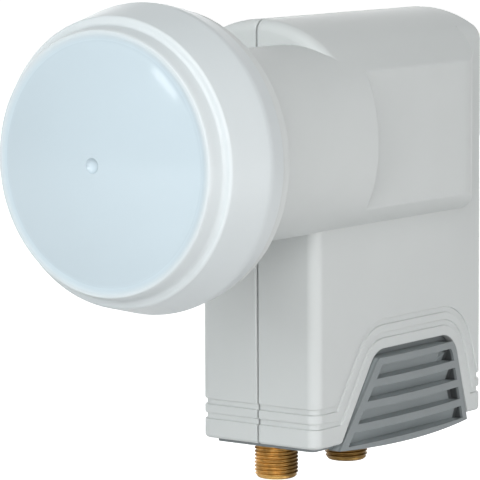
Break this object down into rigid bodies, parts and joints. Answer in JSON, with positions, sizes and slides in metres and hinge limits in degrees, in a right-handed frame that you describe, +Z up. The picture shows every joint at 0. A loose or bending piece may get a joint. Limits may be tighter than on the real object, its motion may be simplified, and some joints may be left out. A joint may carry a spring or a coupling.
{
  "type": "satellite low-noise block",
  "caption": "Twin-output low-noise block for a dish: domed feed cap on a round neck, slim box housing with label pad, threaded coax connectors behind a louvred sliding shield",
  "frame": {"origin": "on the neck's axis, half way along the clamp zone between cap and housing", "axes": "-Y is the way the feed cap faces, +Z is up, the connectors point to -Z"},
  "size_m": [0.062, 0.1303, 0.1053],
  "materials": {
    "housing_plastic": "satin light grey moulding",
    "cap_plastic": "smooth cool white moulding",
    "shield_plastic": "mid grey moulding",
    "connector_brass": "bright turned thread",
    "contact_brass": "plated",
    "cast_alloy": "die cast",
    "insulator_plastic": "plain",
    "board_laminate": "green laminate",
    "seal_rubber": "plain black",
    "screw_steel": "zinc plated"
  },
  "bodies": {
    "lnb": {"right_shell": "housing_plastic", "left_shell": "housing_plastic", "feed_cap": "cap_plastic", "cap_seal": "seal_rubber", "chassis": "cast_alloy", "circuit_board": "board_laminate", "straight_probe": "contact_brass", "bent_probe": "contact_brass", "cover_gasket": "seal_rubber", "chassis_cover": "cast_alloy", "cover_screw_1": "screw_steel", "cover_screw_2": "screw_steel", "cover_screw_3": "screw_steel", "cover_screw_4": "screw_steel", "connector_body_front": "connector_brass", "connector_body_rear": "connector_brass", "connector_insulator_front": "insulator_plastic", "connector_insulator_rear": "insulator_plastic", "connector_contact_front": "contact_brass", "connector_contact_rear": "contact_brass", "connector_seal_front": "seal_rubber", "connector_seal_rear": "seal_rubber"},
    "shield": {"weather_shield": "shield_plastic"}
  },
  "joints": [
    {"name": "shield_slide", "type": "slide", "parent": "lnb", "child": "shield", "axis": [0, 0, -1], "range_m": [0, 0.018]}
  ]
}
